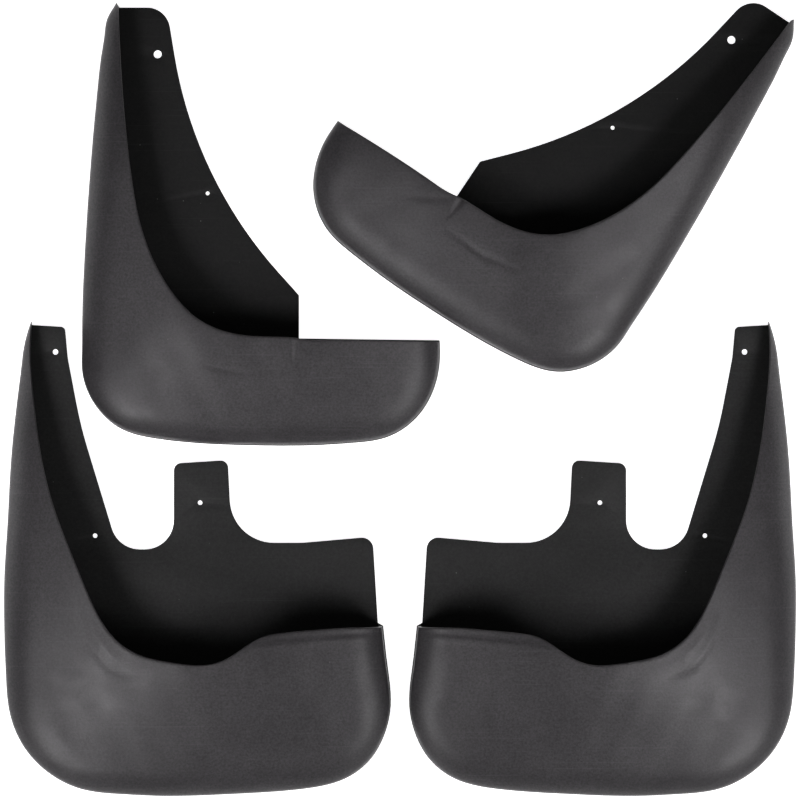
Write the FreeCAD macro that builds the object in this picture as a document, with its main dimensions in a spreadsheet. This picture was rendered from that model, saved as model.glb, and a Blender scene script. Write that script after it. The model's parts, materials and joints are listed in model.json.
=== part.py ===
"""Four moulded car splash guards, laid out flat on their mounting plates: a front pair and a rear pair.

Each guard is a flat plate that screws to the wheel arch liner and a crowned shell that stands on the
plate's rim, with a pocket between the two that the edge of the car body slips into.
Frame: X to the right, Y up the guards, Z out of the plates; the set's box is centred on X and Y.
"""
import FreeCAD, Part
import math
import os
import Sketcher
from FreeCAD import Placement, Rotation, Vector

# Driving dimensions in millimetres, angles in degrees: alias, value, meaning.
DIMENSIONS = (
    ("wall", 2.5, "thickness of every shell"),
    ("plate_thickness", 2.5, "thickness of every plate"),
    ("plate_edge", 0.8, "how far the plate's rim shows past the shell"),
    ("rear_width", 269.5, "rear guard, across the shell"),
    ("rear_height", 329.5, "rear guard, bottom of the shell to its tip"),
    ("rear_crest_depth", 48.0, "rear shell, plate back to the crest at the lip"),
    ("rear_rim_depth", 20.0, "rear shell, plate back to the roof above the rim"),
    ("rear_curl", 11.0, "rear shell, outer radius where the roof turns down to the rim"),
    ("rear_strip_width", 22.5, "rear plate, width of the strip at its top"),
    ("rear_strip_foot", 30.1, "rear plate, width of the strip at its foot"),
    ("rear_tab_left", 117.9, "rear plate, left side of the tab from the guard's left side"),
    ("rear_tab_width", 37.7, "rear plate, width of the tab at its top"),
    ("rear_tab_height", 61.3, "rear plate, tab above the notch floor"),
    ("rear_tab_slope", 1.2, "rear plate, how far the two ends of the tab's top lie off its height"),
    ("rear_tab_flare", 2.9, "rear plate, how far the tab's outer side leans out at its root"),
    ("rear_tab_corner", 5.3, "rear plate, radius of the tab's two corners"),
    ("rear_tab_root", 31.0, "rear plate, radius between the tab and the shoulder"),
    ("rear_notch_height", 170.5, "rear plate, floor of the notch above the guard's bottom"),
    ("rear_notch_corner", 20.5, "rear plate, radius of the notch's two corners"),
    ("rear_shoulder_rise", 8.9, "rear plate, outer shoulder above the notch floor"),
    ("rear_shoulder_dip", 4.3, "rear plate, how far the edge beside the tab dips below the shoulder"),
    ("rear_shoulder_corner", 8.0, "rear plate, radius of the shoulder's outer corner"),
    ("rear_top_hole", 3.9, "rear plate, diameter of the top screw hole"),
    ("rear_side_hole", 3.2, "rear plate, diameter of the hole at the strip's foot"),
    ("rear_tab_hole", 3.2, "rear plate, diameter of the tab's hole"),
    ("front_width", 249.5, "front guard, across the shell"),
    ("front_height", 308.5, "front guard, bottom of the shell to its tip"),
    ("front_crest_depth", 42.0, "front shell, plate back to the crest at the lip"),
    ("front_rim_depth", 18.0, "front shell, plate back to the roof above the rim"),
    ("front_curl", 9.0, "front shell, outer radius where the roof turns down to the rim"),
    ("front_strip_width", 35.7, "front plate, width at its top"),
    ("front_strip_corner", 16.0, "front plate, radius of its top corner"),
    ("front_heel_left", 151.3, "front plate, its square heel from the guard's left side"),
    ("front_heel_rise", 31.6, "front plate, heel above the lip"),
    ("front_lip_step", 1.3, "front plate, how far it shows past the straight lip"),
    ("front_top_hole", 5.6, "front plate, diameter of the top screw hole"),
    ("front_side_hole", 2.8, "front plate, diameter of the lower screw hole"),
    ("rear_gap", 13.2, "gap between the two rear guards"),
    ("rear_low", -275.0, "bottom of the rear guards in the set's frame"),
    ("strip_clearance", 12.8, "left front guard's side past the top of the rear guard's strip"),
    ("tab_clearance", 11.7, "left front guard's bottom above the rear guard's tab"),
    ("front_turn", -33.8, "turn of the right front guard about Z, in degrees"),
    ("front_step_x", 95.9, "right front guard's outer corner past the left one's free end"),
    ("front_step_y", 27.0, "right front guard's outer corner above the left one's bottom"),
)

# Outlines are shares of a guard's width and height, from the corner where its left side and its foot
# meet; the foot bows a little below that corner. Each rim and lip runs on a little past the guard's two
# ends, where the opening's cut trims the shell.
REAR_RIM = (
    (0.092, 1.045), (0.0694, 1.0), (0.0498, 0.941), (0.0442, 0.9035), (0.0367, 0.851), (0.018, 0.7),
    (0.0095, 0.571), (0.0013, 0.464), (0.0, 0.396), (0.0052, 0.244), (0.0157, 0.168), (0.055, 0.096),
    (0.1115, 0.048), (0.1915, 0.0134), (0.3116, 0.0), (0.3976, -0.0033), (0.5833, 0.0004), (0.77, 0.011),
    (0.8887, 0.036), (0.948, 0.0757), (0.9767, 0.1154), (0.9973, 0.181), (0.988, 0.279),
    (0.978, 0.355), (0.972, 0.4),
)
REAR_LIP = (
    (0.0697, 0.994), (0.0697, 0.926), (0.0794, 0.84), (0.108, 0.694), (0.1395, 0.601), (0.181, 0.514),
    (0.2215, 0.435), (0.2616, 0.369), (0.311, 0.3226), (0.376, 0.2956), (0.441, 0.285),
    (0.546, 0.2823), (0.586, 0.2956), (0.6356, 0.3226), (0.676, 0.3396), (0.716, 0.346),
    (0.798, 0.3523), (0.879, 0.3566), (0.981, 0.3566),
)
FRONT_RIM = (
    (0.115, 1.04), (0.0976, 1.0), (0.0714, 0.9624), (0.0645, 0.9276), (0.0552, 0.8767), (0.0491, 0.8335),
    (0.0357, 0.719), (0.0091, 0.431), (0.0015, 0.258), (0.0012, 0.2147), (0.0007, 0.1787), (0.0077, 0.144),
    (0.0492, 0.0799), (0.104, 0.0415), (0.2163, 0.016), (0.2963, 0.0085), (0.4745, 0.0018), (0.6529, 0.002),
    (0.7593, 0.0074), (0.8475, 0.0188), (0.9303, 0.0607), (0.9922, 0.1557), (0.9984, 0.1915),
    (0.9983, 0.2347), (0.996, 0.28),
)
FRONT_LIP = (
    (0.1038, 0.992), (0.1122, 0.8794), (0.1246, 0.749), (0.1447, 0.606), (0.1727, 0.489),
    (0.2132, 0.404), (0.2693, 0.3326), (0.3255, 0.2869), (0.3984, 0.2577), (0.479, 0.2455),
    (0.56, 0.2435), (0.595, 0.2415), (0.625, 0.2375), (0.68, 0.2365), (1.0, 0.2333),
)
STRIP_FOOT_POINT = 5  # point of the rear lip that the strip's foot is measured from
HEEL_POINT = 12  # point of the front lip beside the plate's heel

# Where each plate's free edge bends on its way down from its top, as shares: of the way from the
# strip's foot to its top on the rear plate, and of the guard's width and height on the front one.
REAR_BEND = (0.694, 0.547)
REAR_KNEE = (2.3, 23.0)  # millimetres inwards and down from the strip's top corner
REAR_TOP_CORNER = (0.4, 1.4, 3.5)  # the strip's top corner: millimetres inwards and down, and its radius
REAR_SHOULDER = 0.9535  # share of the width at the shoulder's outer corner
REAR_DIP = 0.77  # share of the width where the edge beside the tab is lowest
REAR_LANDING = (0.967, 2.0)  # share of the width, and millimetres up, where the free edge leaves the rim
FRONT_BEND = (0.314, 0.604)
WIDE_BEND = 300.0  # radius of the plates' long gentle bends
KNEE_BEND = 60.0  # radius of their shorter ones
SMALL_ROUND = 0.8  # radius where the rear plate's free edge leaves the rim
CRISP_ROUND = 0.3  # radius of the front plate's two crisp corners along the lip
HEEL_ROUND = 1.5  # radius of the heel's upper corner
FRONT_OVERHANG = 0.2  # millimetres that the front plate's outer corner stands past the shell's width
FRONT_TOP_SLANT = 2.8  # millimetres that the front plate's top corner leans in

# Roof of a shell: rows go up the guard, columns across it. Each entry is the height as a share of the
# way from the rim's depth (0) to the crest's depth (1).
ROOF_COLUMNS = (-0.06, 0.12, 0.27, 0.5, 0.75, 1.06)
REAR_ROOF = (
    (-0.06, (-0.2, -0.1, -0.05, -0.05, -0.08, -0.2)),
    (0.11, (-0.1, 0.18, 0.32, 0.4, 0.32, 0.1)),
    (0.29, (-0.05, 0.4, 0.75, 0.97, 0.85, 0.45)),
    (0.45, (-0.07, 0.53, 0.97, 1.07, 1.0, 0.7)),
    (0.70, (-0.2, 0.57, 1.0, 1.1, 1.1, 0.9)),
    (1.08, (-0.5, -0.05, 0.2, 0.3, 0.3, 0.3)),
)
FRONT_ROOF = (
    (-0.06, (-0.2, -0.1, -0.05, -0.05, -0.08, -0.2)),
    (0.10, (-0.1, 0.3, 0.45, 0.5, 0.42, 0.1)),
    (0.26, (-0.05, 0.5, 0.85, 0.97, 0.9, 0.4)),
    (0.45, (-0.07, 0.65, 1.0, 1.07, 1.0, 0.7)),
    (0.70, (-0.15, 0.75, 1.05, 1.1, 1.1, 0.9)),
    (1.08, (-0.4, 0.05, 0.3, 0.3, 0.3, 0.3)),
)

BLOCK = 1.5  # height of the block that a roof is cut from, as a multiple of the crest's depth
TALL = 2.0  # height that the cuts reach up to, as a multiple of the crest's depth
OVERRUN = 1.0  # millimetres that the cavity reaches below the shell's foot
ON_THE_RIM = 0.05  # millimetres within which an edge counts as standing over the rim

# Screw holes: the sheet's name for the diameter, then the place as shares of the width and height.
REAR_HOLES = (("top_hole", 0.13, 0.9366), ("side_hole", 0.233, 0.5465), ("tab_hole", 0.5055, 0.6165))
FRONT_HOLES = (("top_hole", 0.2104, 0.8862), ("side_hole", 0.3503, 0.5708))


def make_sheet(doc):
    """Write the driving dimensions into a spreadsheet, one row each."""
    sheet = doc.addObject("Spreadsheet::Sheet", "dims")
    for row, (alias, value, meaning) in enumerate(DIMENSIONS, start=1):
        sheet.set(f"A{row}", alias)
        sheet.set(f"B{row}", str(value))
        sheet.set(f"C{row}", meaning)
        sheet.setAlias(f"B{row}", alias)
    doc.recompute()
    return sheet


def scaled(design, shares):
    """Turn shares of a guard's width and height into points in millimetres."""
    width = design["size"]("width")
    height = design["size"]("height")
    return [Vector(x * width, y * height, 0) for x, y in shares]


def spline_through(points):
    curve = Part.BSplineCurve()
    curve.interpolate(points)
    return curve


def rim_curve(design, inset):
    """The rim as one smooth curve, moved inwards by inset along its own normals."""
    curve = spline_through(scaled(design, design["rim"]))
    moved = []
    for point in scaled(design, design["rim"]):
        along = Vector(curve.tangent(curve.parameter(point))[0])
        moved.append(point + Vector(-along.y, along.x, 0) * inset)
    return spline_through(moved)


def closed_rim(design, inset):
    """The rim closed by a straight line that lies wholly inside the opening."""
    curve = rim_curve(design, inset)
    return [curve, Part.LineSegment(curve.EndPoint, curve.StartPoint)]


def plane_of(body, role):
    return next(item for item in body.Origin.OriginFeatures if item.Role == role)


def add_sketch(body, name, role, geometry):
    sketch = body.newObject("Sketcher::SketchObject", name)
    sketch.AttachmentSupport = (plane_of(body, role), [""])
    sketch.MapMode = "FlatFace"
    sketch.addGeometry(geometry, False)
    return sketch


def roof_profile(design, row, ceiling):
    """One roof section closed above by a level line, in the sketch's own X and Z."""
    width = design["size"]("width")
    rim_depth = design["size"]("rim_depth")
    rise = design["size"]("crest_depth") - rim_depth
    points = [Vector(x * width, rim_depth + share * rise, 0) for x, share in zip(ROOF_COLUMNS, row)]
    first, last = points[0], points[-1]
    over_first = Vector(first.x, ceiling, 0)
    over_last = Vector(last.x, ceiling, 0)
    return [
        spline_through(points),
        Part.LineSegment(last, over_last),
        Part.LineSegment(over_last, over_first),
        Part.LineSegment(over_first, first),
    ]


def roofed_body(doc, design, name, inset, drop, base):
    """A solid inside the rim from base up to the roof, its top edge rounded by the curl."""
    kind = design["kind"]
    body = doc.addObject("PartDesign::Body", name)
    outline = add_sketch(body, name + "_outline", "XY_Plane", closed_rim(design, inset))
    outline.setExpression("AttachmentOffset.Base.z", base)
    pad = body.newObject("PartDesign::Pad", name + "_pad")
    pad.Profile = outline
    pad.setExpression("Length", f"dims.{kind}_crest_depth * {BLOCK}")
    sections = []
    ceiling = design["size"]("crest_depth") * TALL
    for number, (share, row) in enumerate(design["roof"]):
        section = add_sketch(body, f"{name}_roof_{number}", "XZ_Plane", roof_profile(design, row, ceiling))
        section.setExpression("AttachmentOffset.Base.z", f"-dims.{kind}_height * {share}")
        section.setExpression("AttachmentOffset.Base.y", f"-1 * ({drop})")
        sections.append(section)
    roof = body.newObject("PartDesign::SubtractiveLoft", name + "_roof")
    roof.Profile = sections[0]
    roof.Sections = sections[1:]
    doc.recompute()
    curl = body.newObject("PartDesign::Fillet", name + "_curl")
    curl.Base = (roof, [top_rim_edge(roof.Shape, closed_rim(design, inset)[0])])
    curl.setExpression("Radius", f"dims.{kind}_curl - ({drop})")
    doc.recompute()
    return body


def top_rim_edge(shape, curve):
    """Name of the highest edge that stands over the rim curve."""
    flat_rim = curve.toShape()
    best = None
    for number, edge in enumerate(shape.Edges, start=1):
        middle = edge.valueAt((edge.FirstParameter + edge.LastParameter) / 2)
        foot = Part.Vertex(middle.x, middle.y, 0)
        if edge.Length < flat_rim.Length / 2 or foot.distToShape(flat_rim)[0] > ON_THE_RIM:
            continue
        if best is None or middle.z > best[0]:
            best = (middle.z, f"Edge{number}")
    return best[1]


def lip_opening(design):
    """Everything past the lip: the lip's curve closed by a wide frame round the open side."""
    width = design["size"]("width")
    height = design["size"]("height")
    lip = spline_through(scaled(design, design["lip"]))
    tip = scaled(design, design["rim"])[1]
    beyond = 0.2 * width
    over = 1.2 * height
    beside_tip = 1.03 * height
    corners = [
        lip.EndPoint,
        Vector(width + beyond, lip.EndPoint.y, 0),
        Vector(width + beyond, over, 0),
        Vector(-beyond, over, 0),
        Vector(-beyond, beside_tip, 0),
        tip,
        lip.StartPoint,
    ]
    frame = [Part.LineSegment(start, end) for start, end in zip(corners, corners[1:])]
    return [lip] + frame


def make_shell(doc, design):
    """Crowned shell: the solid under the roof, less its cavity, less the opening past the lip."""
    kind = design["kind"]
    wall = design["common"]("wall")
    name = f"{kind}_left_shell"
    cavity_foot = f"dims.plate_thickness - {OVERRUN}"
    cavity = roofed_body(doc, design, name + "_cavity", wall, "dims.wall", cavity_foot)
    shell = roofed_body(doc, design, name, 0, "0", "dims.plate_thickness")
    hollow = shell.newObject("PartDesign::Boolean", name + "_hollow")
    hollow.Type = "Cut"
    hollow.setObjects([cavity])
    doc.recompute()
    opening = add_sketch(shell, name + "_lip", "XY_Plane", lip_opening(design))
    cut = shell.newObject("PartDesign::Pocket", name + "_opening")
    cut.Profile = opening
    cut.Reversed = True
    cut.setExpression("Length", f"dims.{kind}_crest_depth * {TALL}")
    doc.recompute()
    return shell


def rounded_path(corners):
    """Lines between corners (x, y, radius), each corner turned by an arc of its radius."""
    pieces = []
    start = Vector(corners[0][0], corners[0][1], 0)
    for before, corner, after in zip(corners, corners[1:], corners[2:]):
        middle = Vector(corner[0], corner[1], 0)
        back = (Vector(before[0], before[1], 0) - middle).normalize()
        ahead = (Vector(after[0], after[1], 0) - middle).normalize()
        half = back.getAngle(ahead) / 2
        run = corner[2] / math.tan(half)
        bisector = (back + ahead).normalize()
        crown = middle + bisector * (corner[2] / math.sin(half) - corner[2])
        pieces.append(Part.LineSegment(start, middle + back * run))
        pieces.append(Part.Arc(middle + back * run, crown, middle + ahead * run))
        start = middle + ahead * run
    pieces.append(Part.LineSegment(start, Vector(corners[-1][0], corners[-1][1], 0)))
    return pieces


def rear_plate_edge(design, tip, corner):
    """Free edge of a rear plate from the shell's free corner round the tab and the notch to its tip."""
    size = design["size"]
    width = size("width")
    floor = size("notch_height")
    tab_left = size("tab_left")
    tab_right = tab_left + size("tab_width")
    tab_foot = tab_right + size("tab_flare")
    tab_top = floor + size("tab_height")
    slope = size("tab_slope")
    shoulder = floor + size("shoulder_rise")
    dip = shoulder - size("shoulder_dip")
    strip_top = tip.x + size("strip_width")
    foot = scaled(design, design["lip"])[STRIP_FOOT_POINT].x + size("strip_foot")
    bend_x = foot + (strip_top - foot) * REAR_BEND[0]
    bend_y = floor + (tip.y - floor) * REAR_BEND[1]
    return rounded_path([
        (corner.x, corner.y, 0),
        (REAR_LANDING[0] * width, corner.y + REAR_LANDING[1], SMALL_ROUND),
        (REAR_SHOULDER * width, shoulder, size("shoulder_corner")),
        (REAR_DIP * width, dip, KNEE_BEND),
        (tab_foot, dip, size("tab_root")),
        (tab_right, tab_top + slope, size("tab_corner")),
        (tab_left, tab_top - slope, size("tab_corner")),
        (tab_left, floor, size("notch_corner")),
        (foot, floor, size("notch_corner")),
        (bend_x, bend_y, WIDE_BEND),
        (strip_top + REAR_KNEE[0], tip.y - REAR_KNEE[1], KNEE_BEND),
        (strip_top + REAR_TOP_CORNER[0], tip.y - REAR_TOP_CORNER[1], REAR_TOP_CORNER[2]),
        (tip.x, tip.y, 0),
    ])


def front_plate_edge(design, tip, corner):
    """Free edge of a front plate from the shell's free corner along the lip, round the heel, to its tip."""
    size = design["size"]
    width = size("width")
    lip = scaled(design, design["lip"])
    heel_left = size("heel_left")
    heel_low = lip[HEEL_POINT].y + size("lip_step")
    heel_top = lip[HEEL_POINT].y + size("heel_rise")
    strip_top = tip.x + size("strip_width")
    return rounded_path([
        (corner.x, corner.y, 0),
        (width + FRONT_OVERHANG, lip[-1].y + size("lip_step"), CRISP_ROUND),
        (heel_left, heel_low, CRISP_ROUND),
        (heel_left, heel_top, HEEL_ROUND),
        (FRONT_BEND[0] * width, FRONT_BEND[1] * size("height"), WIDE_BEND),
        (strip_top - FRONT_TOP_SLANT, tip.y, size("strip_corner")),
        (tip.x, tip.y, 0),
    ])


def add_hole(sketch, design, name, across, up):
    """A hole's circle, its place a share of the guard's sides and its diameter from the sheet."""
    kind = design["kind"]
    radius = design["size"](name) / 2
    centre = scaled(design, [(across, up)])[0]
    circle = sketch.addGeometry(Part.Circle(centre, Vector(0, 0, 1), radius), False)
    bindings = (
        (Sketcher.Constraint("Diameter", circle, radius * 2), name, f"dims.{kind}_{name}"),
        (Sketcher.Constraint("DistanceX", -1, 1, circle, 3, centre.x), name + "_across",
         f"dims.{kind}_width * {across}"),
        (Sketcher.Constraint("DistanceY", -1, 1, circle, 3, centre.y), name + "_up",
         f"dims.{kind}_height * {up}"),
    )
    for constraint, label, expression in bindings:
        sketch.renameConstraint(sketch.addConstraint(constraint), label)
        sketch.setExpression("Constraints." + label, expression)


def make_plate(doc, design):
    """Flat plate: its rim follows the shell's, its free edge runs past the lip, and screws pass its holes."""
    kind = design["kind"]
    name = f"{kind}_left_plate"
    rim = rim_curve(design, -design["common"]("plate_edge"))
    ends = [rim.parameter(point) for point in scaled(design, (design["rim"][1], design["rim"][-2]))]
    rim.segment(ends[0], ends[1])
    tip = scaled(design, design["lip"])[0]
    free_edge = design["plate_edge"](design, tip, rim.EndPoint)
    body = doc.addObject("PartDesign::Body", name)
    outline = add_sketch(
        body, name + "_outline", "XY_Plane", [rim] + free_edge + [Part.LineSegment(tip, rim.StartPoint)]
    )
    pad = body.newObject("PartDesign::Pad", name + "_pad")
    pad.Profile = outline
    pad.setExpression("Length", "dims.plate_thickness")
    holes = add_sketch(body, name + "_hole_places", "XY_Plane", [])
    for hole_name, across, up in design["holes"]:
        add_hole(holes, design, hole_name, across, up)
    bore = body.newObject("PartDesign::Pocket", name + "_holes")
    bore.Profile = holes
    bore.Reversed = True
    bore.setExpression("Length", "dims.plate_thickness * 2")
    doc.recompute()
    return body


def mirrored_copy(doc, source, name, plane_x, placement):
    """The other hand of a piece, mirrored across the plane at plane_x and then moved."""
    copy = doc.addObject("Part::Mirroring", name)
    copy.Source = source
    copy.Normal = (1, 0, 0)
    copy.Base = (plane_x, 0, 0)
    copy.Placement = placement
    return copy


def check(doc, pieces):
    """Stop if anything in the document failed or a piece is not one sound solid."""
    for item in doc.Objects:
        if "Invalid" in item.State or "Error" in item.State:
            raise RuntimeError(f"{item.Name} failed: {item.State}")
    for piece in pieces:
        if piece.Shape.isNull() or not piece.Shape.isValid() or len(piece.Shape.Solids) != 1:
            raise RuntimeError(f"{piece.Label} is not one sound solid")


def main():
    doc = FreeCAD.newDocument("splash_guards")
    sheet = make_sheet(doc)

    def value(alias):
        return float(sheet.get(alias))

    rear = {
        "kind": "rear", "rim": REAR_RIM, "lip": REAR_LIP, "roof": REAR_ROOF,
        "plate_edge": rear_plate_edge, "holes": REAR_HOLES,
        "size": lambda alias: value("rear_" + alias), "common": value,
    }
    front = {
        "kind": "front", "rim": FRONT_RIM, "lip": FRONT_LIP, "roof": FRONT_ROOF,
        "plate_edge": front_plate_edge, "holes": FRONT_HOLES,
        "size": lambda alias: value("front_" + alias), "common": value,
    }
    rear_left = "-dims.rear_gap / 2 - dims.rear_width"
    strip_side = f"{rear_left} + dims.rear_width * {REAR_LIP[0][0]} + dims.rear_strip_width"
    front_left = f"{strip_side} + dims.strip_clearance"
    front_low = "dims.rear_low + dims.rear_notch_height + dims.rear_tab_height + dims.tab_clearance"
    pieces = []
    for design, across, up in ((rear, rear_left, "dims.rear_low"), (front, front_left, front_low)):
        for make in (make_shell, make_plate):
            piece = make(doc, design)
            piece.setExpression("Placement.Base.x", across)
            piece.setExpression("Placement.Base.y", up)
            pieces.append(piece)
    doc.recompute()
    corner = pieces[2].Placement.Base
    turned = Placement(Vector(corner.x + value("front_width") + value("front_step_x"),
                              corner.y + value("front_step_y"), 0),
                       Rotation(Vector(0, 0, 1), value("front_turn")))
    from_corner = Placement(Vector(-corner.x, -corner.y, 0), Rotation())
    for piece in list(pieces):
        name = piece.Name.replace("left", "right")
        if name.startswith("rear"):
            copy = mirrored_copy(doc, piece, name, 0, Placement())
        else:
            copy = mirrored_copy(doc, piece, name, corner.x, turned * from_corner)
        pieces.append(copy)
    doc.recompute()
    check(doc, pieces)
    os.makedirs("parts", exist_ok=True)
    for piece in pieces:
        piece.Label = piece.Name
        piece.Shape.exportStep(f"parts/{piece.Label}.step")


main()
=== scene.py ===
import json
import math

import bmesh
import bpy
import numpy as np
from mathutils import Matrix, Vector, noise


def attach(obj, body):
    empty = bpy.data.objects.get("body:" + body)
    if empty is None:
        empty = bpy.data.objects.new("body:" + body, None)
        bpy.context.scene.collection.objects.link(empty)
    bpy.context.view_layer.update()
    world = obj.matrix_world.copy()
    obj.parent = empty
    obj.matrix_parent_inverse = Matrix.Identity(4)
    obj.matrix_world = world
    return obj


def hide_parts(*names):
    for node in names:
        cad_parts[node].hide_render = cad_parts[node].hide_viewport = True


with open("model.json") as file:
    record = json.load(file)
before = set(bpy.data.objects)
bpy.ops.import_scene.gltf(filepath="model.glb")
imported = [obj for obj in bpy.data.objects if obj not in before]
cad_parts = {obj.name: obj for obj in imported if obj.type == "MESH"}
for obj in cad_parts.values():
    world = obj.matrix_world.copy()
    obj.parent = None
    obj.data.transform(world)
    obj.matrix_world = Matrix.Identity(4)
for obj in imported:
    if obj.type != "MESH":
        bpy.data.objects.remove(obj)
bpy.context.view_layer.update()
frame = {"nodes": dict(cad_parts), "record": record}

# Looks of four moulded car splash guards: satin shells on matt plates, lying on a pale table. Each guard
# is drawn once, in its own plane, and then placed by its holes on the mounts of the record.

MM = 0.001
WALL = 2.5 * MM  # thickness of every shell
PLATE = 2.5 * MM  # thickness of every plate
ALONG = 560  # steps round a shell, from its tip to its free corner
ACROSS = 84  # steps over a shell, from its rim to its lip
EDGE_RADIUS = 2.0 * MM  # outer radius where a shell turns down at its rim
ROLL_SLOPE = 0.9  # slope of a shell's wide roll beside that edge
BUNCHING = 1.7  # power that gathers the steps over a shell near its rim
FINE_STEPS = 1600  # places tried along a rim to even out its steps
RIM_POINTS = 1400  # points of the rim that distances are measured from
CHUNK = 4000  # points measured at a time
LIP_ROUND = 0.55 * MM  # width of the lip's rounding
RAGGED = 0.12 * MM  # how far the lip strays from its drawn line
RAGGED_SCALE = 260  # strays of the lip per metre
SWELL = (62 * MM, 0.16 * MM, 0.07 * MM)  # a roof's slow waviness: its length, then two heights
UNDER_GAP = 0.3 * MM  # least height of a shell's underside over its plate
HAIR = 0.01 * MM  # a length too short to see, which keeps divisions sound
WELD = 0.004 * MM  # a shell's points closer than this are joined
SLIVER = 0.002 * MM  # edges shorter than this are dissolved, and a plate's points joined
PLATE_ROUND = 0.3 * MM  # rounding of a plate's edges
SHELL_CREASE = math.radians(50)  # edges of a shell sharper than this stay crisp
PLATE_CREASE = math.radians(25)

# Screw holes that place a guard, as shares of its width and height: the top one and the side one.
HOLES = {"rear": ((0.13, 0.9366), (0.233, 0.5465)), "front": ((0.2104, 0.8862), (0.3503, 0.5708))}

FLOOR_SIZE = 3.0  # half the table's side
FLOOR_GLOW = 1.0
SKY_GLOW = 0.04
PINK = (1.0, 0.97, 1.0)
WHITE = (1.0, 1.0, 1.0)
GRID = 35  # angle of a gridded box's light, in degrees
OPEN = 180
# name, aim, azimuth from -Y, elevation, distance, size, angle of the light, power and colour of each soft
# box; the gridded ones light one guard each, from its own outer side
LIGHTS = (
    ("rear_left_box", (-0.3, -0.22, 0), -34, 54, 1.7, (0.5, 0.7), GRID, 0.43, PINK),
    ("rear_right_box", (0.3, -0.22, 0), 34, 54, 1.7, (0.5, 0.7), GRID, 0.43, PINK),
    ("front_left_box", (-0.3, 0.10, 0), -44, 54, 1.7, (0.5, 0.7), GRID, 0.38, PINK),
    ("front_right_box", (0.3, 0.10, 0), 44, 54, 1.7, (0.5, 0.7), GRID, 0.38, PINK),
    ("left_low_box", (0, 0, 0), -44, 34, 1.9, (0.5, 0.5), OPEN, 4.8, WHITE),
    ("right_low_box", (0, 0, 0), 44, 34, 1.9, (0.5, 0.5), OPEN, 4.8, WHITE),
)

SCRATCH_TONE = (0.16, 0.16, 0.165, 1)
DUST_TONE = (0.30, 0.30, 0.30, 1)
HAIRLINES = ((24, 1.0), (-38, 1.3), (71, 0.8))  # angle and scale of each set of scratches
HAIR_STRETCH = (9.0, 620.0, 1.0)  # how much finer a scratch's texture is along each axis

# Outlines are shares of a guard's width and height, from its lower left corner, as in the CAD model. The
# crest and rim depths are the roof's heights over the plate's back; the roll is how far in from the rim
# the roof starts to fall.
REAR = {
    "width": 269.5 * MM, "height": 329.5 * MM,
    "crest": 48.0 * MM, "rim_depth": 20.0 * MM, "roll": 27.0 * MM,
    "rim": (
        (0.092, 1.045), (0.0694, 1.0), (0.0498, 0.941), (0.0442, 0.9035), (0.0367, 0.851), (0.018, 0.7),
        (0.0095, 0.571), (0.0013, 0.464), (0.0, 0.396), (0.0052, 0.244), (0.0157, 0.168), (0.055, 0.096),
        (0.1115, 0.048), (0.1915, 0.0134), (0.3116, 0.0), (0.3976, -0.0033), (0.5833, 0.0004),
        (0.77, 0.011), (0.8887, 0.036), (0.948, 0.0757), (0.9767, 0.1154), (0.9973, 0.181),
        (0.988, 0.279), (0.978, 0.355), (0.972, 0.4),
    ),
    "lip": (
        (0.0697, 0.994), (0.0697, 0.926), (0.0794, 0.84), (0.108, 0.694), (0.1395, 0.601), (0.181, 0.514),
        (0.2215, 0.435), (0.2616, 0.369), (0.311, 0.3226), (0.376, 0.2956), (0.441, 0.285),
        (0.546, 0.2823), (0.586, 0.2956), (0.6356, 0.3226), (0.676, 0.3396), (0.716, 0.346),
        (0.798, 0.3523), (0.879, 0.3566), (0.981, 0.3566),
    ),
    # rim point and lip point that face each other, counted along the two lists
    "facing": (
        (1, 0), (5, 2.9), (8, 5.9), (10.8, 7.6), (15, 9.9), (16.75, 14), (19.1, 16.6), (21.5, 17.6),
        (23, 17.97),
    ),
    "roof": (
        (-0.06, (-0.2, -0.1, -0.05, -0.05, -0.08, -0.2)),
        (0.11, (-0.1, 0.18, 0.32, 0.4, 0.32, 0.1)),
        (0.29, (-0.05, 0.4, 0.75, 0.97, 0.85, 0.45)),
        (0.45, (-0.07, 0.53, 0.97, 1.07, 1.0, 0.7)),
        (0.70, (-0.2, 0.57, 1.0, 1.1, 1.1, 0.9)),
        (1.08, (-0.5, -0.05, 0.2, 0.3, 0.3, 0.3)),
    ),
    # soft folds of the moulding: points as shares, height at each point and half width in millimetres
    "folds": (
        (((0.185, 0.43), (0.204, 0.374), (0.225, 0.333), (0.249, 0.303), (0.278, 0.2715), (0.337, 0.2566),
          (0.402, 0.261)), (0.0, -0.25, -0.45, -0.5, -0.5, -0.3, 0.0), 3.2),
        (((0.215, 0.40), (0.236, 0.352), (0.262, 0.318), (0.295, 0.292), (0.345, 0.272)),
         (0.0, 0.25, 0.4, 0.35, 0.0), 4.5),
        (((0.50, 0.268), (0.537, 0.2736), (0.5966, 0.2927), (0.641, 0.314), (0.74, 0.3225),
          (0.856, 0.331), (0.968, 0.3352)), (0.0, 0.2, 0.35, 0.4, 0.4, 0.35, 0.25), 2.2),
        (((0.66, 0.332), (0.74, 0.3355), (0.856, 0.3435), (0.968, 0.347)),
         (-0.15, -0.35, -0.35, -0.3), 2.6),
    ),
    "dents": (),
}
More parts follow.
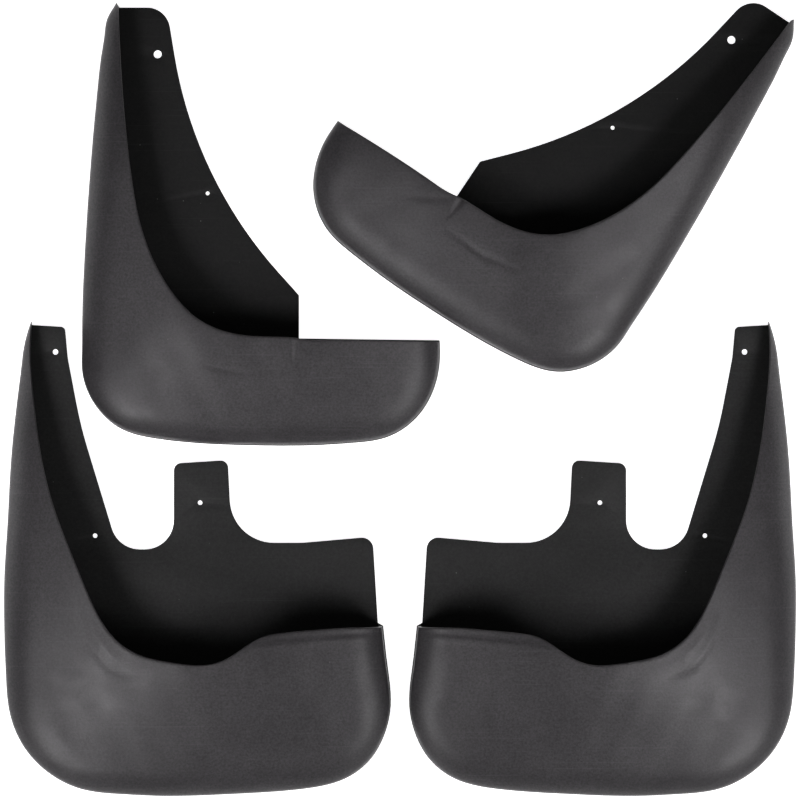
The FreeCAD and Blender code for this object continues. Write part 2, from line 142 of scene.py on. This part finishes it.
FRONT = {
    "width": 249.5 * MM, "height": 308.5 * MM,
    "crest": 42.0 * MM, "rim_depth": 18.0 * MM, "roll": 24.0 * MM,
    "rim": (
        (0.115, 1.04), (0.0976, 1.0), (0.0714, 0.9624), (0.0645, 0.9276), (0.0552, 0.8767),
        (0.0491, 0.8335), (0.0357, 0.719), (0.0091, 0.431), (0.0015, 0.258), (0.0012, 0.2147),
        (0.0007, 0.1787), (0.0077, 0.144), (0.0492, 0.0799), (0.104, 0.0415), (0.2163, 0.016),
        (0.2963, 0.0085), (0.4745, 0.0018), (0.6529, 0.002), (0.7593, 0.0074), (0.8475, 0.0188),
        (0.9303, 0.0607), (0.9922, 0.1557), (0.9984, 0.1915), (0.9983, 0.2347), (0.996, 0.28),
    ),
    "lip": (
        (0.1038, 0.992), (0.1122, 0.8794), (0.1246, 0.749), (0.1447, 0.606), (0.1727, 0.489),
        (0.2132, 0.404), (0.2693, 0.3326), (0.3255, 0.2869), (0.3984, 0.2577), (0.479, 0.2455),
        (0.56, 0.2435), (0.595, 0.2415), (0.625, 0.2375), (0.68, 0.2365), (1.0, 0.2333),
    ),
    "facing": (
        (1, 0), (3.95, 1), (6.25, 2.9), (8.7, 4.7), (12.2, 6.3), (14.9, 8), (15.5, 9), (16, 10),
        (16.45, 12), (17, 13.05), (20, 13.69), (23, 13.99),
    ),
    "roof": (
        (-0.06, (-0.2, -0.1, -0.05, -0.05, -0.08, -0.2)),
        (0.10, (-0.1, 0.3, 0.45, 0.5, 0.42, 0.1)),
        (0.26, (-0.05, 0.5, 0.85, 0.97, 0.9, 0.4)),
        (0.45, (-0.07, 0.65, 1.0, 1.07, 1.0, 0.7)),
        (0.70, (-0.15, 0.75, 1.05, 1.1, 1.1, 0.9)),
        (1.08, (-0.4, 0.05, 0.3, 0.3, 0.3, 0.3)),
    ),
    "folds": (
        (((0.33, 0.188), (0.365, 0.177), (0.449, 0.1634), (0.572, 0.1656)), (0.0, -0.25, -0.4, -0.1), 2.4),
        (((0.609, 0.2314), (0.655, 0.208), (0.7014, 0.1861), (0.73, 0.172)), (-0.3, -0.3, -0.15, 0.0), 2.6),
    ),
    # pressed gussets: left and right ends at the lip and the point below, as shares, and depth in
    # millimetres
    "dents": (((0.568, 0.2450), (0.607, 0.2450), (0.5914, 0.1763), 1.5),),
}
ROOF_COLUMNS = (-0.06, 0.12, 0.27, 0.5, 0.75, 1.06)  # shares of the width, one for each roof entry


def spline_weights(knots, at):
    """Weights that turn values at the knots into a natural cubic spline's values at the places in at."""
    knots = np.asarray(knots, float)
    at = np.asarray(at, float)
    count = len(knots)
    gaps = np.diff(knots)
    system = np.eye(count)
    slopes = np.zeros((count, count))
    for k in range(1, count - 1):
        system[k, k - 1:k + 2] = gaps[k - 1], 2 * (gaps[k - 1] + gaps[k]), gaps[k]
        slopes[k, k - 1:k + 2] = 6 / gaps[k - 1], -6 / gaps[k - 1] - 6 / gaps[k], 6 / gaps[k]
    bends = np.linalg.solve(system, slopes)
    cell = np.clip(np.searchsorted(knots, at, side="right") - 1, 0, count - 2)
    gap = gaps[cell]
    right = (at - knots[cell]) / gap
    left = 1 - right
    weights = np.zeros((len(at), count))
    rows = np.arange(len(at))
    weights[rows, cell] += left
    weights[rows, cell + 1] += right
    weights += ((left ** 3 - left) * gap ** 2 / 6)[:, None] * bends[cell]
    weights += ((right ** 3 - right) * gap ** 2 / 6)[:, None] * bends[cell + 1]
    return weights


class Outline:
    """A smooth curve through a guard's outline points, read by a count along those points."""

    def __init__(self, design, shares):
        self.points = np.array(shares) * (design["width"], design["height"])
        steps = np.linalg.norm(np.diff(self.points, axis=0), axis=1)
        self.knots = np.concatenate(([0.0], np.cumsum(steps)))

    def place(self, count):
        return np.interp(count, np.arange(len(self.knots)), self.knots)

    def at(self, count):
        return spline_weights(self.knots, self.place(count)) @ self.points


def nearest_on(points, line):
    """Distance of each point from a polyline, in the plane, and its nearest place as a count along it."""
    starts = line[:-1]
    runs = np.diff(line, axis=0)
    lengths = (runs ** 2).sum(1)
    distance = np.empty(len(points))
    place = np.empty(len(points))
    for first in range(0, len(points), CHUNK):
        part = points[first:first + CHUNK, None, :] - starts[None]
        share = np.clip((part * runs).sum(2) / lengths, 0, 1)
        away = ((part - share[..., None] * runs) ** 2).sum(2)
        best = away.argmin(1)
        rows = np.arange(len(best))
        distance[first:first + CHUNK] = np.sqrt(away[rows, best])
        place[first:first + CHUNK] = best + share[rows, best]
    return distance, place


def distance_to(points, line):
    return nearest_on(points, line)[0]


def smooth_step(value, low, high):
    share = np.clip((value - low) / (high - low), 0, 1)
    return share * share * (3 - 2 * share)


def roof_height(design, points):
    """Height of the crowned roof over each point, before the roll at the rim."""
    across = spline_weights(ROOF_COLUMNS, points[:, 0] / design["width"])
    up = spline_weights([row[0] for row in design["roof"]], points[:, 1] / design["height"])
    table = np.array([row[1] for row in design["roof"]])
    share = np.einsum("nr,rc,nc->n", up, table, across)
    return design["rim_depth"] + share * (design["crest"] - design["rim_depth"])


def rim_drop(design, distance, radius):
    """How far the roof has fallen at a distance from the rim: a wide roll, then a tight turned edge."""
    roll = design["roll"]
    left = np.clip(roll - distance, 0, roll)
    inside = np.clip(radius - distance, 0, radius)
    return ROLL_SLOPE * left ** 3 / (3 * roll ** 2) + radius - np.sqrt(radius ** 2 - inside ** 2)


def moulding_marks(design, points):
    """Folds, pressed gussets and a slow waviness of the moulding, as heights to add to the roof."""
    scale = np.array((design["width"], design["height"]))
    height = np.zeros(len(points))
    for line, rises, half_width in design["folds"]:
        away, place = nearest_on(points, np.array(line) * scale)
        rise = np.interp(place, np.arange(len(rises)), rises) * MM
        height += rise * np.exp(-(away / (half_width * MM)) ** 2)
    for left, right, foot, depth in design["dents"]:
        left, right, foot = (np.array(corner) * scale for corner in (left, right, foot))
        climb = np.clip((points[:, 1] - foot[1]) / (left[1] - foot[1]), 0, 1.2)
        middle = foot[0] + ((left[0] + right[0]) / 2 - foot[0]) * climb
        half = np.maximum((right[0] - left[0]) / 2 * climb, HAIR)
        inside = np.clip(1 - np.abs(points[:, 0] - middle) / half, 0, 1)
        height -= depth * MM * climb * inside
    length, broad, fine = SWELL
    wave = 2 * math.pi / length
    height += broad * np.sin(points[:, 0] * wave + 1.3) * np.sin(points[:, 1] * wave * 0.8 + 0.4)
    height += fine * np.sin(points[:, 0] * wave * 2.3 + points[:, 1] * wave * 1.1)
    return height


def shell_sections(design):
    """Closed cross-sections of a shell, one for each step from its tip to its free corner."""
    rim = Outline(design, design["rim"])
    lip = Outline(design, design["lip"])
    rim_counts, lip_counts = zip(*design["facing"])
    fine = np.linspace(rim_counts[0], rim_counts[-1], FINE_STEPS)
    rim_line = rim.at(np.linspace(0, len(rim.points) - 1, RIM_POINTS))
    places = np.linspace(rim.place(rim_counts[0]), rim.place(rim_counts[-1]), ALONG)
    counts = np.interp(places, rim.place(fine), fine)
    outer = rim.at(counts)
    inner = lip.at(np.interp(counts, rim_counts, lip_counts))
    ragged = np.array([noise.noise((p[0] * RAGGED_SCALE, p[1] * RAGGED_SCALE, 3.1)) for p in inner])
    inner[:, 1] += RAGGED * ragged * np.hanning(ALONG)
    run = inner - outer
    length = np.linalg.norm(run, axis=1)
    edge = np.minimum(LIP_ROUND, 0.3 * length)
    stop = 1 - edge / np.maximum(length, HAIR)
    shares = np.linspace(0, 1, ACROSS) ** BUNCHING
    flat = outer[:, None] + run[:, None] * (shares[None, :, None] * stop[:, None, None])
    points = flat.reshape(-1, 2)
    away = distance_to(points, rim_line)
    roof = roof_height(design, points)
    marks = moulding_marks(design, points) * smooth_step(away, 0, design["roll"])
    top = (roof + marks - rim_drop(design, away, EDGE_RADIUS)).reshape(ALONG, ACROSS)
    away = away.reshape(ALONG, ACROSS)

    under_from = np.array([np.interp(WALL, d, shares * s) for d, s in zip(away, stop)])
    under_from = np.where(away[:, -1] < WALL, stop, under_from)
    under_shares = stop[:, None] + (under_from - stop)[:, None] * np.linspace(0, 1, ACROSS // 3)[None]
    under_flat = outer[:, None] + run[:, None] * under_shares[..., None]
    under_points = under_flat.reshape(-1, 2)
    inward = np.maximum(distance_to(under_points, rim_line) - WALL, 0)
    under = roof_height(design, under_points) - WALL - rim_drop(design, inward, EDGE_RADIUS / 2)
    under = np.maximum(under, PLATE + UNDER_GAP).reshape(ALONG, -1)

    columns = []
    for share in (0.0, 0.35, 0.7):
        columns.append((outer, PLATE + (top[:, 0] - PLATE) * share))
    for k in range(ACROSS):
        columns.append((flat[:, k], top[:, k]))
    drop = np.minimum(edge, 0.4 * (top[:, -1] - under[:, 0]).clip(0.1 * MM))
    for angle in (30, 60, 90):
        turn = math.radians(angle)
        ahead = (stop + (1 - stop) * math.sin(turn))[:, None]
        columns.append((outer + run * ahead, top[:, -1] - drop * (1 - math.cos(turn))))
    for angle in (90, 45):
        turn = math.radians(angle)
        ahead = (stop + (1 - stop) * math.sin(turn))[:, None]
        columns.append((outer + run * ahead, under[:, 0] + drop * (1 - math.cos(turn))))
    for k in range(under.shape[1]):
        columns.append((under_flat[:, k], under[:, k]))
    for share in (0.5, 1.0):
        columns.append((under_flat[:, -1], under[:, -1] + (PLATE - under[:, -1]) * share))
    flat_places = np.stack([place for place, height in columns], axis=1)
    heights = np.stack([height for place, height in columns], axis=1)
    return np.concatenate((flat_places, heights[..., None]), axis=2)


def guard_placement(design, guard, kind):
    """Turn and place a guard's own drawing so that its first two holes meet the record's mounts."""
    mirror = -1 if guard.endswith("right") else 1
    mounts = {mount["name"]: mount for mount in frame["record"]["mounts"]}
    names = [f"{guard}_top_hole", f"{guard}_side_hole"]
    own = [Vector((mirror * x * design["width"], y * design["height"])) for x, y in HOLES[kind]]
    real = [Vector(mounts[name]["pos_m"][:2]) for name in names]
    turn = (real[1] - real[0]).angle_signed(own[1] - own[0])
    matrix = Matrix.Rotation(turn, 4, "Z")
    shift = real[0] - (matrix @ own[0].to_3d()).to_2d()
    return Matrix.Translation(shift.to_3d()) @ matrix @ Matrix.Diagonal((mirror, 1, 1, 1))


def new_piece(name, mesh, material):
    piece = bpy.data.objects.new(name, mesh)
    bpy.context.scene.collection.objects.link(piece)
    piece.data.materials.clear()
    piece.data.materials.append(material)
    return piece


def make_shell(design, sections, kind, guard, material):
    """One shell, skinned over its closed cross-sections."""
    along, around = sections.shape[:2]
    numbers = np.arange(along * around).reshape(along, around)
    faces = []
    for i in range(along - 1):
        for j in range(around):
            k = (j + 1) % around
            faces.append((numbers[i, j], numbers[i + 1, j], numbers[i + 1, k], numbers[i, k]))
    faces.append(tuple(numbers[0]))
    faces.append(tuple(numbers[-1][::-1]))
    mesh = bpy.data.meshes.new(guard + "_shell_skin")
    mesh.from_pydata(sections.reshape(-1, 3).tolist(), [], [tuple(int(n) for n in face) for face in faces])
    mesh.transform(guard_placement(design, guard, kind))
    tidy = bmesh.new()
    tidy.from_mesh(mesh)
    bmesh.ops.remove_doubles(tidy, verts=tidy.verts, dist=WELD)
    bmesh.ops.dissolve_degenerate(tidy, dist=SLIVER, edges=tidy.edges)
    bmesh.ops.recalc_face_normals(tidy, faces=tidy.faces)
    tidy.to_mesh(mesh)
    tidy.free()
    mesh.shade_smooth()
    mesh.set_sharp_from_angle(angle=SHELL_CREASE)
    piece = new_piece(guard + "_shell_skin", mesh, material)
    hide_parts(guard + "_shell")
    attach(piece, guard)


def top_loops(node):
    """Outline loops of a plate's upper face, read from its CAD mesh."""
    mesh = bmesh.new()
    mesh.from_mesh(frame["nodes"][node].data)
    bmesh.ops.remove_doubles(mesh, verts=mesh.verts, dist=SLIVER / 2)
    top = {face for face in mesh.faces if face.normal.z > 0.9}
    links = {}
    for edge in mesh.edges:
        if sum(face in top for face in edge.link_faces) == 1 and len(edge.link_faces) == 2:
            for vert in edge.verts:
                links.setdefault(vert, []).append(edge.other_vert(vert))
    loops = []
    while links:
        start = next(iter(links))
        loop = [start]
        last, here = None, start
        while True:
            ahead = next((v for v in links[here] if v is not last and (v is start or v not in loop)), None)
            if ahead is None or ahead is start:
                break
            loop.append(ahead)
            last, here = here, ahead
        loops.append([vert.co.to_2d() for vert in loop])
        for vert in loop:
            links.pop(vert, None)
    mesh.free()
    return sorted(loops, key=len, reverse=True)


def make_plate(guard, material):
    """Plate with its edges rounded over, built on the CAD plate's own outline and holes."""
    curve = bpy.data.curves.new(guard + "_plate_outline", "CURVE")
    curve.dimensions = "2D"
    curve.fill_mode = "BOTH"
    curve.extrude = PLATE / 2 - PLATE_ROUND
    curve.bevel_depth = PLATE_ROUND
    curve.bevel_resolution = 2
    curve.offset = -PLATE_ROUND
    for loop in top_loops(guard + "_plate"):
        spline = curve.splines.new("POLY")
        spline.points.add(len(loop) - 1)
        for point, place in zip(spline.points, loop):
            point.co = (place.x, place.y, 0, 1)
        spline.use_cyclic_u = True
    drawn = bpy.data.objects.new(curve.name, curve)
    bpy.context.scene.collection.objects.link(drawn)
    bpy.context.view_layer.update()
    mesh = bpy.data.meshes.new_from_object(drawn)
    bpy.data.objects.remove(drawn)
    mesh.transform(Matrix.Translation((0, 0, PLATE / 2)))
    tidy = bmesh.new()
    tidy.from_mesh(mesh)
    bmesh.ops.remove_doubles(tidy, verts=tidy.verts, dist=SLIVER)
    bmesh.ops.recalc_face_normals(tidy, faces=tidy.faces)
    tidy.to_mesh(mesh)
    tidy.free()
    mesh.shade_smooth()
    mesh.set_sharp_from_angle(angle=PLATE_CREASE)
    piece = new_piece(guard + "_plate_skin", mesh, material)
    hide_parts(guard + "_plate")
    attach(piece, guard)


def node_of(tree, kind, **settings):
    """New node; each setting goes to the input of that name, or else to the node itself."""
    node = tree.nodes.new(kind)
    for name, value in settings.items():
        if name in node.inputs:
            node.inputs[name].default_value = value
        else:
            setattr(node, name, value)
    return node


def mixed(tree, mode, factor, first, second):
    """Colour of two inputs combined; each may be a socket, or a plain colour or factor."""
    node = node_of(tree, "ShaderNodeMix", data_type="RGBA", blend_type=mode)
    for socket, value in (("Factor", factor), ("A", first), ("B", second)):
        target = next(item for item in node.inputs if item.name == socket and item.enabled)
        if isinstance(value, bpy.types.NodeSocket):
            tree.links.new(value, target)
        else:
            target.default_value = value
    return next(item for item in node.outputs if item.enabled)


def ramp(tree, source, low, high, dark, light):
    """Spread the part of a texture's value between low and high from dark to light, as greys."""
    node = node_of(tree, "ShaderNodeMapRange")
    for socket, value in (("From Min", low), ("From Max", high), ("To Min", dark), ("To Max", light)):
        node.inputs[socket].default_value = value
    tree.links.new(source, node.inputs["Value"])
    return node.outputs["Result"]


def hairlines(tree, place, angle, scale):
    """Noise drawn out into long hairlines that run at an angle."""
    turn = node_of(tree, "ShaderNodeMapping")
    turn.inputs["Rotation"].default_value = (0, 0, math.radians(angle))
    turn.inputs["Scale"].default_value = HAIR_STRETCH
    tree.links.new(place, turn.inputs["Vector"])
    hair = node_of(tree, "ShaderNodeTexNoise", Scale=scale, Detail=2.0, Roughness=0.5)
    tree.links.new(turn.outputs["Vector"], hair.inputs["Vector"])
    return hair.outputs["Fac"]


def plastic(name, colour, mottle, grain, roughness, bump_height, scratches, dust):
    """Moulded plastic: mottled colour, grain, hairline scratches, uneven gloss and specks of dust."""
    material = bpy.data.materials.new(name)
    material.use_nodes = True
    tree = material.node_tree
    tree.nodes.clear()
    link = tree.links.new
    place = node_of(tree, "ShaderNodeTexCoord").outputs["Object"]
    cloud = node_of(tree, "ShaderNodeTexNoise", Scale=17.0, Detail=6.0, Roughness=0.62)
    blotch = node_of(tree, "ShaderNodeTexNoise", Scale=70.0, Detail=4.0, Roughness=0.6)
    fine = node_of(tree, "ShaderNodeTexNoise", Scale=620.0, Detail=3.0, Roughness=0.7)
    speck = node_of(tree, "ShaderNodeTexVoronoi", Scale=330.0, Randomness=1.0)
    for texture in (cloud, blotch, fine, speck):
        link(place, texture.inputs["Vector"])
    shade = ramp(tree, cloud.outputs["Fac"], 0.32, 0.68, 1 - mottle, 1 + mottle)
    patch = ramp(tree, blotch.outputs["Fac"], 0.3, 0.7, 1 - mottle * 0.6, 1 + mottle * 0.6)
    dots = ramp(tree, fine.outputs["Fac"], 0.3, 0.7, 1 - grain, 1 + grain)
    tone = mixed(tree, "MULTIPLY", 1.0, (*colour, 1), shade)
    tone = mixed(tree, "MULTIPLY", 1.0, tone, patch)
    tone = mixed(tree, "MULTIPLY", 1.0, tone, dots)
    for angle, scale in HAIRLINES:
        line = ramp(tree, hairlines(tree, place, angle, scale), 0.66, 0.74, 0.0, scratches)
        tone = mixed(tree, "MIX", line, tone, SCRATCH_TONE)
    near = ramp(tree, speck.outputs["Distance"], 0.0, 0.16, 1.0, 0.0)
    pick = node_of(tree, "ShaderNodeSeparateColor")
    link(speck.outputs["Color"], pick.inputs["Color"])
    rare = node_of(tree, "ShaderNodeMath", operation="GREATER_THAN")
    rare.inputs[1].default_value = 1.0 - dust
    link(pick.outputs["Red"], rare.inputs[0])
    spot = node_of(tree, "ShaderNodeMath", operation="MULTIPLY")
    link(near, spot.inputs[0])
    link(rare.outputs["Value"], spot.inputs[1])
    tone = mixed(tree, "MIX", spot.outputs["Value"], tone, DUST_TONE)
    bump = node_of(tree, "ShaderNodeBump", Strength=1.0, Distance=bump_height)
    link(fine.outputs["Fac"], bump.inputs["Height"])
    shader = node_of(tree, "ShaderNodeBsdfPrincipled")
    shader.inputs["IOR"].default_value = 1.46
    link(tone, shader.inputs["Base Color"])
    link(ramp(tree, blotch.outputs["Fac"], 0.3, 0.7, roughness - 0.05, roughness + 0.05),
         shader.inputs["Roughness"])
    link(bump.outputs["Normal"], shader.inputs["Normal"])
    out = node_of(tree, "ShaderNodeOutputMaterial")
    link(shader.outputs["BSDF"], out.inputs["Surface"])
    return material


def make_floor():
    """Pale table just under the guards, self-lit so that it stays an even white."""
    mesh = bpy.data.meshes.new("floor")
    corners = [(-1, -1), (1, -1), (1, 1), (-1, 1)]
    mesh.from_pydata([(x * FLOOR_SIZE, y * FLOOR_SIZE, -0.05 * MM) for x, y in corners], [], [(0, 1, 2, 3)])
    material = bpy.data.materials.new("pale_floor")
    material.use_nodes = True
    shader = material.node_tree.nodes["Principled BSDF"]
    shader.inputs["Base Color"].default_value = (0.9, 0.9, 0.9, 1)
    shader.inputs["Roughness"].default_value = 0.9
    shader.inputs["Specular IOR Level"].default_value = 0.0
    shader.inputs["Emission Color"].default_value = (1, 1, 1, 1)
    shader.inputs["Emission Strength"].default_value = FLOOR_GLOW
    floor = new_piece("floor", mesh, material)


def add_light(name, aim, azimuth, elevation, distance, size, spread, power, colour):
    """A soft box seen from its aim at an azimuth from -Y and an elevation; spread is its grid's angle."""
    data = bpy.data.lights.new(name, "AREA")
    data.shape = "RECTANGLE"
    data.size, data.size_y = size
    data.spread = math.radians(spread)
    data.energy = power
    data.color = colour
    turn, up = math.radians(azimuth), math.radians(elevation)
    away = Vector((math.sin(turn) * math.cos(up), -math.cos(turn) * math.cos(up), math.sin(up)))
    light = bpy.data.objects.new(name, data)
    light.location = Vector(aim) + away * distance
    light.rotation_euler = (-away).to_track_quat("-Z", "Y").to_euler()
    bpy.context.scene.collection.objects.link(light)


def make_camera():
    """Camera straight above the set, far off with a long lens."""
    data = bpy.data.cameras.new("camera")
    data.sensor_width = 36
    data.lens = 200
    field = 560 * MM
    camera = bpy.data.objects.new("camera", data)
    camera.location = (0, 0, data.lens / data.sensor_width * field)
    camera.rotation_euler = (0, 0, 0)
    data.clip_end = 20
    bpy.context.scene.collection.objects.link(camera)
    bpy.context.scene.camera = camera


def main():
    shell = plastic(
        "shell_plastic", (0.046, 0.0435, 0.0465), mottle=0.12, grain=0.40, roughness=0.43,
        bump_height=0.10 * MM, scratches=0.12, dust=0.003,
    )
    # Plate colours are painted shade: the plates are one moulding with the shells, yet their colour is set
    # darker than the shell's to stand in for the shade that falls on them.
    rear_plate_painted_shade = plastic(
        "rear_plate_painted_shade_plastic", (0.023, 0.0235, 0.023), mottle=0.10, grain=0.35, roughness=0.62,
        bump_height=0.09 * MM, scratches=0.06, dust=0.012,
    )
    # Front plates: painted darker still, half the rear plates' colour, for the deeper shade on them.
    front_plate_painted_shade = plastic(
        "front_plate_painted_shade_plastic", (0.011, 0.0113, 0.011), mottle=0.10, grain=0.35, roughness=0.66,
        bump_height=0.09 * MM, scratches=0.06, dust=0.012,
    )
    for kind, design, plate in (("rear", REAR, rear_plate_painted_shade), ("front", FRONT, front_plate_painted_shade)):
        sections = shell_sections(design)
        for side in ("left", "right"):
            guard = f"{kind}_{side}"
            make_shell(design, sections, kind, guard, shell)
            make_plate(guard, plate)
    make_floor()
    for light in LIGHTS:
        add_light(*light)
    world = bpy.data.worlds.new("studio")
    world.use_nodes = True
    world.node_tree.nodes["Background"].inputs["Color"].default_value = (1, 1, 1, 1)
    world.node_tree.nodes["Background"].inputs["Strength"].default_value = SKY_GLOW
    bpy.context.scene.world = world
    bpy.context.scene.view_settings.view_transform = "Standard"
    make_camera()


main()
